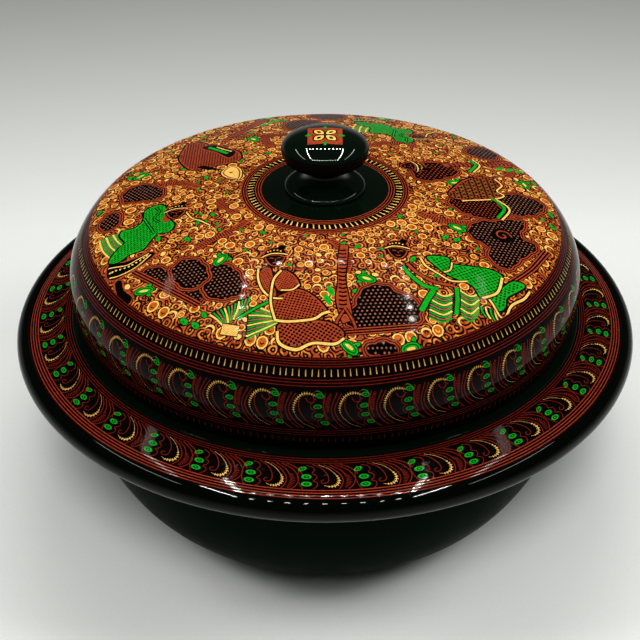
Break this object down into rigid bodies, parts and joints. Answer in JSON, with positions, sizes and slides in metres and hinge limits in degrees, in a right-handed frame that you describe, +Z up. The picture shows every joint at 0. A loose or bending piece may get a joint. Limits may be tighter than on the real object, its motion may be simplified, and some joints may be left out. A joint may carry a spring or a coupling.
{
  "type": "covered serving dish",
  "caption": "Deep round lacquered bowl on a foot ring, with a wide sloping brim, and a domed lift-off lid with a mushroom knob and incised patterned bands.",
  "frame": {"origin": "centre of the foot ring's underside, on the table", "axes": "+Z up along the axis of revolution, through the knob; +X and +Y lie in the table plane, and the side seen in the picture faces -Y"},
  "size_m": [0.3, 0.3, 0.1989],
  "materials": {
    "black_lacquer": "black tree-sap lacquer, polished to a deep gloss",
    "incised_lacquer": "black lacquer incised and filled with red, orange, yellow and green, polished flush",
    "red_lacquer_lining": "plain cinnabar-red lacquer, semi-gloss",
    "bare_wood": "unfinished turned hardwood"
  },
  "bodies": {
    "bowl": {"foot_ring": "black_lacquer", "bowl_floor": "red_lacquer_lining", "bowl_wall": "black_lacquer", "mouth_ring": "black_lacquer", "locating_collar": "red_lacquer_lining", "brim": "incised_lacquer", "rim_bead": "black_lacquer"},
    "lid": {"lid_hoop": "red_lacquer_lining", "lid_wall": "incised_lacquer", "lid_crown": "incised_lacquer", "knob_stem": "black_lacquer", "knob_head": "black_lacquer", "knob_washer": "bare_wood", "knob_wedge": "bare_wood"}
  },
  "joints": [
    {"name": "lid_lift", "type": "slide", "parent": "bowl", "child": "lid", "axis": [0, 0, 1], "range_m": [0, 0.15]}
  ]
}
